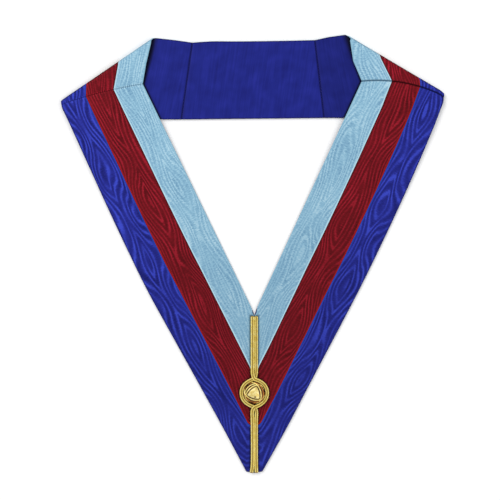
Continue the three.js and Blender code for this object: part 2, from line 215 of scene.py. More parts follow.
def smooth(knots, values, at):
    """Values between the knots, on a curve through all of them."""
    slopes = np.gradient(values, knots)
    i = np.clip(np.searchsorted(knots, at, side="right") - 1, 0, len(knots) - 2)
    width = knots[i + 1] - knots[i]
    t = (at - knots[i]) / width
    start = (1 + 2 * t) * (1 - t) ** 2 * values[i] + t * (1 - t) ** 2 * width * slopes[i]
    end = t * t * (3 - 2 * t) * values[i + 1] + t * t * (t - 1) * width * slopes[i + 1]
    return start + end


def fold_radius(share):
    """The fold's outer radius at a share of the way from the neck to the corner."""
    return LAYER_THICKNESS + between(FOLD_HOLLOW_NECK, FOLD_HOLLOW_CORNER, share) / 2


def side_points(name):
    """The main points of one side, from the notch up the neck edge and round the fold to the back."""
    s = SIDES[name]
    side = s.side
    p = Values(notch=np.zeros(3))
    p.seam_neck = leaning_step(side, NECK_EDGE * s.neck, s.arm_lean)
    p.fold_neck = p.seam_neck + leaning_step(side, BAND_WIDTH * s.shoulder, -s.shoulder_lean)
    p.fold_outer = p.fold_neck + level_step(side, BAND_WIDTH * s.fold, s.fold_tilt)
    p.back_neck = p.fold_neck + level_step(-side, BAND_WIDTH * s.back_run, s.back_dip)
    p.back_outer = p.back_neck + leaning_step(side, -BAND_WIDTH * s.back_width, -s.back_splay)
    p.fold_inward = leaning_step(side, -1.0, s.fold_tilt)
    p.fold_along = unit(p.fold_outer - p.fold_neck)
    p.tip_corner = step(side, TIP_HALF_WIDTH, TIP_CORNER_RISE - CENTRE_LENGTH)
    creep = (p.fold_inward + p.fold_along) * fold_radius(1.0)
    p.seam_outer = p.fold_outer + creep + unit(p.tip_corner - p.fold_outer) * SEAM_TO_FOLD
    return p


# Lines across the band. Each gives points and face directions for places counted in ribbons from 0 to 3.

def share_across(splits, places):
    return np.interp(places, (0, 1, 2, 3), (0.0, splits[0], splits[1], 1.0))[:, None]


def upper_row(neck, outer, splits, neck_height=0.0, outer_height=0.0, bow=0.0, shift=0.0):
    """A line across cloth whose ribbons face up, at the heights of the lining's underside."""
    across = unit((outer - neck) * (1, 1, 0))
    upward = np.array([-across[1], across[0], 0.0])
    if upward[1] < 0:
        upward = -upward

    def line(places):
        share = share_across(splits, places)
        points = between(neck, outer, share) + upward * (4 * share * (1 - share) * bow + shift)
        points[:, 2] = between(neck_height, outer_height, share[:, 0]) + LAYER_THICKNESS
        return points, np.tile(UP, (len(places), 1))

    return line


def lower_row(neck, outer, splits, shift=0.0):
    """A line across cloth whose ribbons face the table."""

    def line(places):
        points = between(neck, outer, share_across(splits, places)) + step(1, shift, 0)
        return points, np.tile(DOWN, (len(places), 1))

    return line


def fold_row(p, splits, turn_degrees, rise):
    """A line across the fold. Turn 0 is where it leaves the upper layer, 180 where it joins the lower one. The
    cloth creeps along the fold by a radius each quarter turn."""
    turn = radians(turn_degrees)

    def line(places):
        share = share_across(splits, places)
        radius = fold_radius(share)
        points = between(p.fold_neck, p.fold_outer, share)
        points = points + p.fold_inward * radius * (1 - sin(turn))
        points = points + p.fold_along * radius * (1 - turn_degrees / 90)
        points[:, 1] += rise * max(0.0, turn_degrees / 90 - 1) * (1 - share[:, 0])
        points[:, 2] = radius[:, 0] * (1 + cos(turn))
        normal = p.fold_inward * -sin(turn) + UP * cos(turn)
        return points, np.tile(normal, (len(places), 1))

    return line


def fold_splits(s, turn_degrees):
    share = min(1.0, turn_degrees / 90)
    return [start + (end - start) * share for start, end in zip(s.fold_splits, s.edge_splits)]


def row_between(before, after, share):

    def line(places):
        start, start_normal = before(places)
        end, end_normal = after(places)
        normals = between(start_normal, end_normal, share)
        return between(start, end, share), normals / norm(normals, axis=1)[:, None]

    return line


def rows_between(before, after, shares):
    return [row_between(before, after, share) for share in shares]


def neck_end_moved(row, move, reach=NECK_END_REACH):
    """The same line with its neck end moved, and nothing beyond the reach."""

    def line(places):
        points, normals = row(places)
        return points + move * np.clip(1 - places / reach, 0, 1)[:, None], normals

    return line


def moved_at_notch(rows, side, amounts, outward, up):
    """The lines with their neck ends moved by the amounts in one direction."""
    moved = [neck_end_moved(row, step(side, outward, up) * amount) for row, amount in zip(rows, amounts)]
    return moved + rows[len(amounts):]


# The sections of the band

def arm_row(name, at, seam_side=-1):
    """The line across an arm at a place in ARM_ROWS, from 0 at the point to the shoulder seam. Seam side 1 is
    the shoulder's own side of that seam."""
    s = SIDES[name]
    p = side_points(name)
    table = np.array(ARM_ROWS)
    knots = np.arange(len(table), dtype=float)
    r = {column: float(smooth(knots, table[:, i], at)) for i, column in enumerate(ARM_COLUMNS)}
    run = unit(p.seam_outer - p.tip_corner)
    outward = step(s.side, abs(run[1]), -abs(run[0]))
    neck = between(p.notch, p.seam_neck, r["neck"])
    outer = between(p.tip_corner, p.seam_outer, r["outer"]) + outward * BAND_WIDTH * s.bow * r[name]
    up_arm = zip(*map(SPLITS.get, SPLITS_UP_ARM))
    splits = [np.interp(r["outer"], (0.0, MIDDLE_OF_ARM, 1.0), ends) for ends in up_arm]
    at_seam = max(0.0, at - (len(ARM_ROWS) - 2))
    return upper_row(
        neck, outer, splits, OVERLAP_LIFT * r["neck_lift"], OVERLAP_LIFT * r["outer_lift"],
        BAND_WIDTH * s.seam_bow * at_seam, seam_side * s.seam_gap / 2 * at_seam,
    )


def arm_rows(name):
    """Lines from the centre seam to the shoulder seam."""
    side = SIDES[name].side
    half_gap = SEWN_GAP / 2
    centre = upper_row(step(side, half_gap, 0), step(side, half_gap, -CENTRE_LENGTH), SPLITS["centre"])
    last = len(ARM_ROWS) - 1
    places = [*np.arange(0, last, 1 / ARM_STEPS), *(last - short for short in LINES_TO_SEAM), last]
    rows = [centre] + rows_between(centre, arm_row(name, 0.0), LINES_TO_TIP)
    return rows + [arm_row(name, at) for at in places]


def shoulder_rows(name):
    """Lines from the shoulder seam round the fold to the back seam, and which of them starts the fold."""
    s = SIDES[name]
    p = side_points(name)
    rise = BAND_WIDTH * s.back_rise
    seam = arm_row(name, len(ARM_ROWS) - 1, 1)
    turns = [180 * i / FOLD_STEPS for i in range(FOLD_STEPS + 1)]
    fold = [fold_row(p, fold_splits(s, turn), turn, rise) for turn in turns]
    halfway, *at_fold = s.neck_moves
    bulge = row_between(seam, fold[0], 0.5)
    bulge = neck_end_moved(bulge, step(-s.side, BAND_WIDTH * s.neck_bulge, 0), 1.0)
    bulge = neck_end_moved(bulge, p.fold_along * halfway)
    moves = np.interp(turns, (0, 90, 180), at_fold)
    fold = [neck_end_moved(row, p.fold_along * move) for row, move in zip(fold, moves)]
    flat_neck = between(p.fold_neck, p.back_neck, BACK_FLAT_PLACE) + step(1, 0, rise * BACK_FLAT_RISE)
    flat_outer = p.back_outer + step(s.side, BACK_FLAT_RUN, 0)
    flat = lower_row(flat_neck, flat_outer, SPLITS["back"])
    end = lower_row(p.back_neck, p.back_outer, SPLITS["back"], s.side * SEWN_GAP / 2)
    rows = [seam] + rows_between(seam, bulge, LINES_TO_BULGE) + [bulge]
    rows += rows_between(bulge, fold[0], LINES_TO_FOLD)
    fold_start = len(rows)
    rows += fold
    rows += rows_between(fold[-1], flat, LINES_TO_FLAT) + [flat]
    rows += rows_between(flat, end, LINES_TO_BACK_SEAM) + [end]
    return rows, fold_start


def back_rows():
    """Lines across the back of the neck, from seam to seam."""
    left = side_points("left")
    right = side_points("right")
    table = np.array(BACK_ROWS)
    rows = []
    at_start = LINES_AT_BACK_SEAM
    at_end = [1 - along for along in at_start[::-1]]
    for along in [0, *at_start, *np.linspace(0, 1, BACK_STEPS)[1:-1], *at_end, 1]:
        rise = float(smooth(table[:, 0], table[:, 1], along))
        neck = between(left.back_neck, right.back_neck, along) + step(1, 0, BAND_WIDTH * rise)
        outer = between(left.back_outer, right.back_outer, along)
        rows.append(lower_row(neck, outer, SPLITS["back"], SEWN_GAP / 2 * (1 - 2 * along)))
    return rows


# Cloth meshes

def arm_pattern(name):
    """Lays an arm flat: across from the neck edge, and along it from the notch."""
    s = SIDES[name]
    along = leaning_step(s.side, 1.0, s.arm_lean)
    across = step(s.side, along[1], -abs(along[0]))

    def pattern(points, places, lengths):
        return points @ across, points @ along

    return pattern


def flat_across(splits, places, lengths):
    """Places across the flat band, with each ribbon as wide as its splits."""
    return np.broadcast_to(share_across(splits, places)[:, 0] * BAND_WIDTH, lengths.shape)


def shoulder_pattern(name, fold_start):
    """Lays a shoulder flat: across by the ribbons' widths, and along from the start of the fold."""
    s = SIDES[name]
    along = leaning_step(s.side, 1.0, -s.shoulder_lean)
    splits = np.add(s.edge_splits, SPLITS["back"]) / 2

    def pattern(points, places, lengths):
        fold = points[fold_start]
        offset = (fold - fold[0]) @ along
        return flat_across(splits, places, lengths), lengths - lengths[fold_start] + offset

    return pattern


def back_pattern(points, places, lengths):
    return flat_across(SPLITS["back"], places, lengths), lengths


def cloth_places(start, end):
    """Places from one long edge of a sheet to the other, closer beside its edges."""
    edge = [column / RIBBON_WIDTH for column in EDGE_COLUMNS]
    inner_start = start + edge[-1]
    inner_end = end - edge[-1]
    count = max(2, round((inner_end - inner_start) * RIBBON_WIDTH / COLUMN_SPACING) + 1)
    middle = np.linspace(inner_start, inner_end, count)
    return np.array([start + e for e in edge[:-1]] + list(middle) + [end - e for e in edge[-2::-1]])


def rounded(distance, radius):
    """How far a rounded edge falls at a distance from its end."""
    inside = np.clip(1 - distance / radius, 0, 1)
    return radius * (1 - np.sqrt(1 - inside ** 2))


def corner_rounded(points):
    """The points with the band's two outer corners drawn in to a curve."""
    for name in SIDES:
        p = side_points(name)
        corner = p.fold_outer + (p.fold_inward + p.fold_along) * fold_radius(1.0)
        inward = unit(unit(p.tip_corner - corner) - p.fold_along)
        reach = norm((points - corner)[..., :2], axis=-1) / SIDES[name].corner_reach
        points = points + inward * SIDES[name].corner_pull * np.exp(-reach ** 2)[..., None]
    return points


def gathered(points, distance, seam, depth):
    """How far the gathers beside a seam fall."""
    run = norm(points[seam] - points[seam][0], axis=1)
    wave = (1 - np.cos(2 * np.pi * run / PUCKER_PITCH)) / 2
    return depth * wave[None, :] * np.exp(-(distance / PUCKER_REACH) ** 2)


def quads(rows, columns):
    """Faces of a closed body of two grids, the upper one first, joined round their edges."""
    upper = np.arange(rows * columns).reshape(rows, columns)
    lower = upper + rows * columns
    sets = (
        (upper[:-1, :-1], upper[:-1, 1:], upper[1:, 1:], upper[1:, :-1]),
        (lower[:-1, :-1], lower[1:, :-1], lower[1:, 1:], lower[:-1, 1:]),
        (upper[:-1, 0], upper[1:, 0], lower[1:, 0], lower[:-1, 0]),
        (upper[1:, -1], upper[:-1, -1], lower[:-1, -1], lower[1:, -1]),
        (upper[0, 1:], upper[0, :-1], lower[0, :-1], lower[0, 1:]),
        (upper[-1, :-1], upper[-1, 1:], lower[-1, 1:], lower[-1, :-1]),
    )
    return np.concatenate([np.stack([corner.ravel() for corner in four], axis=1) for four in sets])


def outward(points, faces):
    """The faces, turned round if they face inward."""
    a, b, c, d = points[faces].transpose(1, 0, 2)
    volume = (a * (np.cross(b, c) + np.cross(c, d))).sum()
    return faces if volume > 0 else faces[:, ::-1]


def new_object(name, data):
    made = bpy.data.objects.new(name, data)
    bpy.context.scene.collection.objects.link(made)
    return made


def place_piece(piece, node):
    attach(piece, "root")
    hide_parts(node)


def deselect_all():
    for shown in bpy.context.selected_objects:
        shown.select_set(False)


def select_only(piece):
    deselect_all()
    piece.select_set(True)
    bpy.context.view_layer.objects.active = piece


def added(add_shape, **sizes):
    """The object that the operator adds, with nothing else selected."""
    deselect_all()
    add_shape(**sizes)
    return bpy.context.active_object


def apply_transform(rotation=False):
    bpy.ops.object.transform_apply(location=True, rotation=rotation, scale=True)


def shade_smooth(piece, degrees):
    select_only(piece)
    bpy.ops.object.shade_smooth_by_angle(angle=radians(degrees))
    deselect_all()


def flat_size(u, v):
    """Width, length and area in metres of a sheet's flat pattern."""
    place = (u + 1j * v) * MM
    diagonals = (place[1:, 1:] - place[:-1, :-1]).conj() * (place[1:, :-1] - place[:-1, 1:])
    return (np.ptp(place.real), np.ptp(place.imag)), np.abs(diagonals.imag).sum() / 2


def sheet_lines(rows, places):
    """Points and face directions of a sheet's lines, and how far along the cloth each point is."""
    lines = [row(places) for row in rows]
    points = corner_rounded(np.array([line[0] for line in lines]))
    normals = np.array([line[1] for line in lines])
    steps = norm(np.diff(points, axis=0), axis=2)
    return points, normals, np.vstack([np.zeros(len(places)), np.cumsum(steps, axis=0)])


def sheet_distances(points, places, lengths, span, seams):
    """How far each point is from the sheet's edges and along the nearer seam, and how strong its line is."""
    from_end = lengths[-1] - lengths
    start_nearer = lengths < from_end
    start_run, end_run = (norm(points[row] - points[row][0], axis=1) for row in (0, -1))
    return {
        "from_inner": np.broadcast_to((places - span[0]) * RIBBON_WIDTH, lengths.shape),
        "from_outer": np.broadcast_to((span[1] - places) * RIBBON_WIDTH, lengths.shape),
        "from_seam": np.minimum(lengths, from_end),
        "along_seam": np.where(start_nearer, start_run, end_run),
        "seam_line": np.where(start_nearer, seams[0][1], seams[1][1]),
    }


def sheet_relief(points, lengths, distances, seams):
    """How far the face that shows falls at the rounded edges and the seams."""
    nearest = np.minimum(distances["from_inner"], distances["from_outer"])
    relief = rounded(np.minimum(nearest, distances["from_seam"]), EDGE_RADIUS)
    for distance, row, (pucker, strength) in zip((lengths, lengths[-1] - lengths), (0, -1), seams):
        relief = relief + SEAM_DIP * strength * np.exp(-(distance / SEAM_DIP_WIDTH) ** 2)
        relief = relief + gathered(points, distance, row, pucker)
    return np.minimum(relief, MOST_RELIEF)[:, :, None]


def add_cloth(node, rows, span, depths, pattern, seams, material, shift, tucked=None):
    """One sheet of cloth. Span is its two long edges in ribbons, depths how far its faces lie below the rows,
    and seams the gathers' depth and the line's strength at its first and last row. Only a lining is tucked: 1
    where it takes the painted shadow beside the upper layer, else 0."""
    places = cloth_places(*span)
    points, normals, lengths = sheet_lines(rows, places)
    distances = sheet_distances(points, places, lengths, span, seams)
    relief = sheet_relief(points, lengths, distances, seams)
    top, bottom = depths
    is_ribbon = tucked is None
    upper = points - normals * (top + (relief if is_ribbon else 0))
    lower = points - normals * (bottom - (0 if is_ribbon else relief))
    vertices = np.concatenate([upper.reshape(-1, 3), lower.reshape(-1, 3)])
    faces = outward(vertices, quads(*lengths.shape))
    mesh = bpy.data.meshes.new("cloth_" + node)
    mesh.from_pydata(((vertices + NOTCH) * MM).tolist(), [], faces.tolist())
    u, v = pattern(points, places, lengths)
    put_pattern(mesh, u, v, shift)
    if not is_ribbon:
        distances["tucked"] = np.full(lengths.shape, tucked)
    for name, distance in distances.items():
        put_values(mesh, name, np.tile(distance.ravel(), 2))
    mesh.materials.append(material)
    piece = new_object("cloth_" + node, mesh)
    shade_smooth(piece, CLOTH_CREASE)
    place_piece(piece, node)
    flat, area = flat_size(u, v)


def put_pattern(mesh, u, v, shift):
    """Stores the flat pattern as the mesh's own map, in metres."""
    flat = np.stack([u.ravel(), v.ravel()], axis=1) * MM + shift
    corners = np.empty(len(mesh.loops), dtype=np.int32)
    mesh.loops.foreach_get("vertex_index", corners)
    mesh.uv_layers.new(name="pattern").data.foreach_set("uv", np.tile(flat, (2, 1))[corners].ravel())


def put_values(mesh, name, values):
    """Stores a value for every vertex, such as a distance in millimetres."""
    mesh.attributes.new(name, "FLOAT", "POINT").data.foreach_set("value", values)


def vertex_places(mesh):
    places = np.empty(3 * len(mesh.vertices))
    mesh.vertices.foreach_get("co", places)
    return places.reshape(-1, 3)


# Materials

class Wire:
    """An output of a node, on which sums add Math nodes."""

    def __init__(self, tree, socket=None):
        self.tree = tree
        self.socket = socket

    def node(self, kind, settings=None, sockets=None, output=0):
        """Adds a node, with its settings and the values or links of its sockets."""
        made = self.tree.nodes.new(kind)
        for name, value in (settings or {}).items():
            if name == "stops":
                set_stops(made.color_ramp, value)
            else:
                setattr(made, name, value)
        for name, value in (sockets or {}).items():
            if isinstance(value, Wire):
                self.tree.links.new(value.socket, made.inputs[name])
            else:
                made.inputs[name].default_value = value
        return Wire(self.tree, made.outputs[output])

    def math(self, operation, *others):
        return self.node("ShaderNodeMath", {"operation": operation}, dict(enumerate((self, *others))))

    def __add__(self, other):
        return self.math("ADD", other)

    def __sub__(self, other):
        return self.math("SUBTRACT", other)

    def __rsub__(self, other):
        return self.math("MULTIPLY", -1.0).math("ADD", other)

    def __mul__(self, other):
        return self.math("MULTIPLY", other)

    def __truediv__(self, other):
        return self.math("DIVIDE", other)

    __radd__ = __add__
    __rmul__ = __mul__

    def sine(self):
        return self.math("SINE")


def set_stops(ramp, stops):
    """Gives a colour ramp its places and colours."""
    while len(ramp.elements) < len(stops):
        ramp.elements.new(1.0)
    for element, (place, colour) in zip(ramp.elements, stops):
        element.position = place
        element.color = colour


def linear(text, light=1.0):
    """A colour from its hexadecimal name, as linear light."""
    parts = [int(text[i:i + 2], 16) / 255 for i in (1, 3, 5)]
    parts = [c / 12.92 if c <= 0.04045 else ((c + 0.055) / 1.055) ** 2.4 for c in parts]
    return (*(light * c for c in parts), 1.0)


def ramp(factor, places, names, light=1.0):
    """A colour chosen by the factor from named colours at their places."""
    stops = [(place, linear(name, light)) for place, name in zip(places, names)]
    return factor.node("ShaderNodeValToRGB", {"stops": stops}, {"Fac": factor})


def mix(factor, first, second):
    """The first colour where the factor is 0, the second where it is 1."""
    return factor.node("ShaderNodeMix", {"data_type": "RGBA"}, {0: factor, 6: first, 7: second}, output=2)


def fade(value, start, end):
    """From 0 at start to 1 at end, and no further."""
    sockets = {"Value": value, "From Min": start, "From Max": end}
    return value.node("ShaderNodeMapRange", {"interpolation_type": "SMOOTHSTEP"}, sockets)


def noise(x, y, z, size=(1.0, 1.0), detail=2.0):
    """Soft noise of mean one half, with cells of the size along x and y."""
    place = y.node("ShaderNodeCombineXYZ", sockets={"X": x / size[0], "Y": y / size[1], "Z": z})
    return y.node("ShaderNodeTexNoise", sockets={"Vector": place, "Scale": 1.0, "Detail": detail})


def attribute(wires, name):
    return wires.node("ShaderNodeAttribute", {"attribute_name": name}, output="Fac")


def in_millimetres(place, axes):
    """The place's parts along the axes."""
    parts = [place.node("ShaderNodeSeparateXYZ", sockets={"Vector": place}, output=axis) for axis in axes]
    return [part * (1 / MM) for part in parts]


def object_place(wires):
    return in_millimetres(wires.node("ShaderNodeTexCoord", output="Object"), "XYZ")


def pattern_place(wires):
    return in_millimetres(wires.node("ShaderNodeUVMap", {"uv_map": "pattern"}), "XY")


def new_material(name):
    material = bpy.data.materials.new(name)
    material.use_nodes = True
    return material, Wire(material.node_tree)


def finish_surface(wires, height, depth, colour, roughness, **constants):
    """Fills the shader, with relief from a height in units of the depth."""
    shader = wires.tree.nodes["Principled BSDF"]
    bump = wires.node("ShaderNodeBump", sockets={"Height": height, "Distance": depth, "Strength": 1.0})
    for name, value in {"Normal": bump, "Base Color": colour, "Roughness": roughness}.items():
        wires.tree.links.new(value.socket, shader.inputs[name])
    for name, value in constants.items():
        shader.inputs[name.replace("_", " ")].default_value = value


# The watered ribbons. Their figure is nested flames about a line that wanders along the ribbon. A flame holds
# flame lines, line_pitch apart, ends tip blunt and repeats after flame_length. Drift is how many lines noise
# with cells of drift_size pulls it about, jag how ragged its lines are, fading how much they lose in places.
# Figure, trough and grain are the strength of all its lines, of the dark ones and of the weave. Fold painted
# shade is how strong the painted shade at a fold's outer edge is.
WATERED = {
    "light_blue": Values(
        line_pitch=3.5, tip=1.2, flame=1.1, flame_length=130.0, drift=3.0, drift_size=(10.0, 85.0),
        fading=0.62, jag=0.9, figure=0.27, trough=0.65, grain=0.8,
        dark="#638eae", body="#8db8cf", light="#bfdde9", rim="#bbdfec", inner_rim="#84b0c6",
        edge_shade=0.3, seam_shade=0.5,
    ),
    "crimson": Values(
        line_pitch=3.7, tip=0.9, flame=1.3, flame_length=140.0, drift=2.8, drift_size=(12.0, 95.0),
        fading=0.7, jag=0.42, figure=0.48, trough=0.5, grain=0.6,
        dark="#46070d", body="#700f19", light="#a41d2f", rim="#98180f", inner_rim="#4a0408",
        edge_shade=0.75, seam_shade=0.35,
    ),
    "royal_blue": Values(
        line_pitch=5.2, tip=1.0, flame=1.1, flame_length=120.0, drift=2.8, drift_size=(13.0, 75.0),
        fading=0.74, jag=0.32, figure=0.58, trough=0.5, grain=0.5,
        dark="#141860", body="#252c8e", light="#3a48c2", rim="#181c62", inner_rim="#1f45ac",
        edge_shade=0.75, seam_shade=0.35,
    ),
}
WANDER = 18.0
WANDER_LENGTH = 70.0
FLAME_WOBBLE = 50.0
FLAME_WOBBLE_LENGTH = 90.0
JAG_SIZE = (4.5, 1.5)
FADING_SIZE = (14.0, 30.0)
TONE_SIZE = (30.0, 55.0)
GRAIN_SIZE = (4.0, 1.4)
THREAD_SIZE = (0.5, 3.0)
RIB_PITCH = 0.8
RIBBON_BUMP = 0.00003

# The rims of a ribbon: how far off its edge they are full and gone, and the strength of the inner and outer.
# The royal blue's dark outer rim is painted shade where its edge turns down.
RIM = (0.6, 1.92)
RIM_STRENGTHS = (0.8, 0.85)

# The satin: sizes of its streaks, mottles and weave.
STREAK_SIZE = (45.0, 2.2)
MOTTLE_SIZE = (16.0, 16.0)
WEAVE_SIZE = (0.35, 0.35)
SATIN_BUMP = 0.00004

# Where the dark, the middle and the light colour of satin and of gold lie.
RAMP_PLACES = (0.3, 0.5, 0.7)

# Painted shade on the arms, for light falling off: full at its start, none at its end, up the collar and a
# little to the left.
PAINTED_SHADE_START = -190.0
PAINTED_SHADE_END = 210.0
PAINTED_SHADE_SLANT = 0.4
PAINTED_SHADE_STRENGTH = 0.33

# How far from the braid and from a fold's outer edge the painted shade is full, and how far from it none is
# left.
PAINTED_BRAID_SHADE = (0.3, 2.9)
PAINTED_FOLD_EDGE_SHADE = (0.6, 2.2)

# A seam's dark line, where it is strong, and its row of stitches, where it is faint.
SEAM_LINE = (0.3, 1.1)
SEAM_LINE_STRENGTH = 0.85
STITCH_PITCH = 2.6
STITCH_ROW_START = (0.2, 0.6)
STITCH_ROW_END = (1.2, 1.9)
DARK_STITCH = 0.45
PALE_STITCH = 0.5


def seam_colour(wires, colour, dark, pale):
    """Darkens the colour along a seam, or dots it with stitches where the line is faint."""
    from_seam = attribute(wires, "from_seam")
    line = attribute(wires, "seam_line")
    stitch = (attribute(wires, "along_seam") * (2 * pi / STITCH_PITCH)).sine()
    near = 1 - fade(from_seam / (line * 0.8 + 0.8), *SEAM_LINE)
    stitch_row = fade(from_seam, *STITCH_ROW_START) * (1 - fade(from_seam, *STITCH_ROW_END))
    dots = (near * 0.3 + stitch_row) * (1 - line)
    colour = mix(dots * fade(stitch, 0.3, 0.9) * DARK_STITCH, colour, dark)
    colour = mix(dots * fade(stitch, -0.3, -0.9) * PALE_STITCH, colour, pale)
    return mix(near * line * SEAM_LINE_STRENGTH, colour, dark)


def off_line(x, y, start, end):
    """How far a place is from the line between two points of a side, and its share of the way along it."""
    first_x, first_y, _ = (start + NOTCH).tolist()
    run_x, run_y, _ = (end - start).tolist()
    beside_x = x - first_x
    beside_y = y - first_y
    share = (beside_x * run_x + beside_y * run_y) / (run_x ** 2 + run_y ** 2)
    share = share.math("MAXIMUM", 0.0).math("MINIMUM", 1.0)
    off_x = beside_x - share * run_x
    off_y = beside_y - share * run_y
    return (off_x * off_x + off_y * off_y).math("SQRT"), share


def painted_shade_at_fold_edge(x, y):
    """Painted shade where the cloth turns away at a fold, from 1 at its outer edge to 0 on the flat."""
    left, right = (off_line(x, y, p.fold_neck, p.fold_outer)[0] for p in map(side_points, SIDES))
    return 1 - fade(left.math("MINIMUM", right), *PAINTED_FOLD_EDGE_SHADE)


def painted_shade_beside_braid(x, y):
    """Painted shade beside the braid, from 1 at its edge to 0 a little way off."""
    right = x - NOTCH[0]
    down = NOTCH[1] - RING_DROP - y
    from_centre = (right * right + down * down).math("SQRT")
    from_ring = (from_centre - RING_RADIUS).math("ABSOLUTE") - STRAND_WIDTH / 2
    beside_strands = right.math("ABSOLUTE") - (STRAND_WIDTH + STRAND_GAP / 2)
    off_its_end = (down + (RING_DROP - (CENTRE_LENGTH + BRAID_START) / 2)).math("ABSOLUTE")
    off_its_end = off_its_end - (CENTRE_LENGTH - BRAID_START) / 2
    past_ring = RING_RADIUS - (down.math("ABSOLUTE") - STRAND_WIDTH)
    from_strands = beside_strands.math("MAXIMUM", off_its_end).math("MAXIMUM", past_ring)
    return 1 - fade(from_ring.math("MINIMUM", from_strands), *PAINTED_BRAID_SHADE)


def watered_material(ribbon):
    """Ribbed ribbon pressed so that its ribs show a figure like wood grain."""
    w = WATERED[ribbon]
    material, wires = new_material("watered_" + ribbon)
    across, along = pattern_place(wires)
    jagged = noise(across, along, 7.0, JAG_SIZE, detail=1.0) - 0.5
    wander = (noise(0.5, along, 11.0, (1.0, WANDER_LENGTH), detail=0.0) - 0.5) * WANDER
    from_inner = attribute(wires, "from_inner")
    from_outer = attribute(wires, "from_outer")
    beside = (from_inner - from_outer) * 0.5 + wander
    legs = (beside * beside + w.tip ** 2).math("SQRT") / w.line_pitch
    wobble = (noise(0.5, along, 13.0, (1.0, FLAME_WOBBLE_LENGTH), detail=0.0) - 0.5) * FLAME_WOBBLE
    flames = ((along + wobble) * (2 * pi / w.flame_length)).sine() * w.flame
    drift = noise(across, along, 1.0, w.drift_size, detail=0.6) * w.drift
    turns = legs + flames + drift + jagged * w.jag
    wave = (turns * (2 * pi)).sine()
    presence = fade(noise(across, along, 3.0, FADING_SIZE), 0.32, 0.66) * w.fading
    strength = presence + (1 - w.fading)
    lines = fade(wave, 0.1, 1.0) - fade(wave, 0.1, -1.0) * w.trough
    tone = (noise(across, along, 5.0, TONE_SIZE) - 0.5) * 0.45
    grain = (noise(across, along, 15.0, GRAIN_SIZE, detail=1.0) - 0.5) * w.grain
    lightness = lines * strength * w.figure + tone + grain + 0.4
    colour = ramp(lightness, (0.0, 0.45, 1.0), (w.dark, w.body, w.light))
    x, y, _ = object_place(wires)
    # Painted shade, darker toward the point and to the right.
    low = 1 - fade(y - x * PAINTED_SHADE_SLANT, PAINTED_SHADE_START, PAINTED_SHADE_END)
    colour = mix(low * PAINTED_SHADE_STRENGTH, colour, linear(w.dark, 0.6))
    # Painted shade beside the braid.
    colour = mix(painted_shade_beside_braid(x, y) * 0.8, colour, linear(w.dark, 0.25))
    # Painted shade along a fold's outer edge.
    colour = mix(painted_shade_at_fold_edge(x, y) * w.edge_shade, colour, linear(w.dark, 0.3))
    # Rims along both edges; the royal blue's dark outer rim is painted shade.
    for distance, rim, rim_strength in zip((from_inner, from_outer), (w.inner_rim, w.rim), RIM_STRENGTHS):
        colour = mix((1 - fade(distance, *RIM)) * rim_strength, colour, linear(rim))
    colour = seam_colour(wires, colour, linear(w.dark, w.seam_shade), linear(w.light, 1.3))
    ribs = (along * (2 * pi / RIB_PITCH)).sine()
    threads = noise(across, along, 9.0, THREAD_SIZE, detail=1.0)
    height = ribs * (0.35 + 0.3 * wave) + threads * 0.8
    roughness = 0.5 - wave * strength * 0.08
    finish_surface(wires, height, RIBBON_BUMP, colour, roughness, Specular_IOR_Level=0.06)
    return material


def painted_shadow_under_layer(x, y):
    """The painted shadow beside the upper layer's neck edge, from 0 in the open to 1 at the edge."""
    deepest = None
    for name in SIDES:
        p = side_points(name)
        fold_start = p.fold_neck + p.fold_along * SIDES[name].neck_moves[1]
        stretches = ((fold_start, p.seam_neck, PAINTED_SHADOW_AT_SHOULDER), (p.seam_neck, p.notch, PAINTED_SHADOW_AT_ARM))
        for start, end, (first_width, last_width) in stretches:
            distance, share = off_line(x, y, start, end)
            width = share * (last_width - first_width) + first_width
            shade = 1 - fade(distance / width, 0.2, 1.6)
            deepest = shade if deepest is None else deepest.math("MAXIMUM", shade)
    return deepest


def satin_material(name, light):
    """Smooth satin with faint streaks and mottles, dark at its seams, with painted shade at its edges and a
    painted shadow where it goes in under the upper layer.
    """
    material, wires = new_material(name)
    across, along = pattern_place(wires)
    streaks = noise(across, along, 2.0, STREAK_SIZE)
    mottles = noise(across, along, 4.0, MOTTLE_SIZE, detail=1.5)
    colour = ramp(streaks * 0.5 + mottles * 0.5, RAMP_PLACES, ("#151b6e", "#1a227c", "#21288a"), light)
    # Darker along the edges and seams: dark seam lines, and painted shade where the edges turn down.
    edge = attribute(wires, "from_inner").math("MINIMUM", attribute(wires, "from_outer"))
    edge = edge.math("MINIMUM", attribute(wires, "from_seam"))
    colour = mix((1 - fade(edge, 0.5, 1.7)) * 0.8, colour, linear("#0b0d4a"))
    x, y, _ = object_place(wires)
    # Painted shadow beside the upper layer, on the linings marked tucked.
    tucked = attribute(wires, "tucked") * painted_shadow_under_layer(x, y)
    colour = mix(tucked * 0.95, colour, linear("#04051e"))
    weave = noise(across, along, 6.0, WEAVE_SIZE, detail=0.0)
    height = streaks * 2.0 + weave * 0.5
    finish_surface(wires, height, SATIN_BUMP, colour, 0.42 + mottles * 0.1, Specular_IOR_Level=0.08)
    return material


